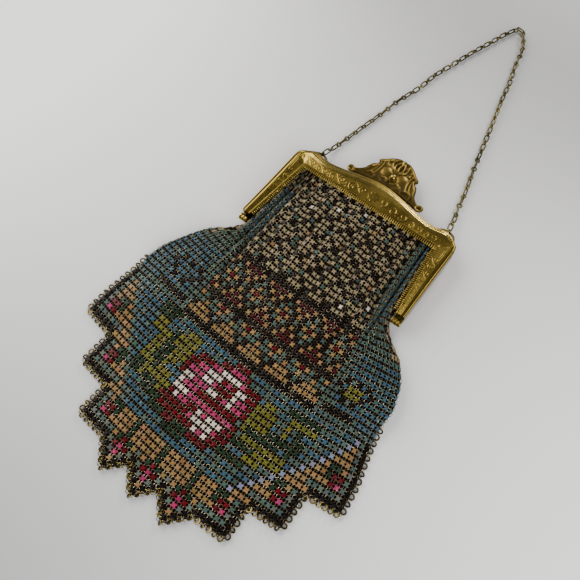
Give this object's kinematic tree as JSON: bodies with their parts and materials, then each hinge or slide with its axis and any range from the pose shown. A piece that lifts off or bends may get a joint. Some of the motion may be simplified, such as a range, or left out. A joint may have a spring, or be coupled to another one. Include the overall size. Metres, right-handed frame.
{
  "type": "metal mesh purse",
  "caption": "Small enamelled metal mesh purse lying on its back, with a hinged embossed brass frame, a shell thumb lift, a stepped lower edge and a fine carrying chain.",
  "frame": {"origin": "under the middle of the whole purse, on the surface that it lies on", "axes": "+X to the right of the purse's face, +Y from the lower points towards the frame and the chain, +Z out of the face, up from the surface"},
  "size_m": [0.1302, 0.2866, 0.01],
  "materials": {
    "gilt_brass": "worn gilt, semi-polished",
    "cast_brass": "cast and antiqued",
    "aged_brass": "dark patina",
    "enamelled_mesh": "satin enamel on metal tiles"
  },
  "bodies": {
    "purse": {"front_frame": "gilt_brass", "back_frame": "gilt_brass", "hinge_barrel_left": "gilt_brass", "hinge_barrel_right": "gilt_brass", "mesh_bag": "enamelled_mesh", "chain": "aged_brass"},
    "lift": {"thumb_lift": "cast_brass"}
  },
  "joints": [
    {"name": "thumb_lift_hinge", "type": "hinge", "parent": "purse", "child": "lift", "pos_m": [0.00046, 0.01864, 0.00255], "axis": [1, 0, 0], "range_deg": [0, 20]}
  ]
}
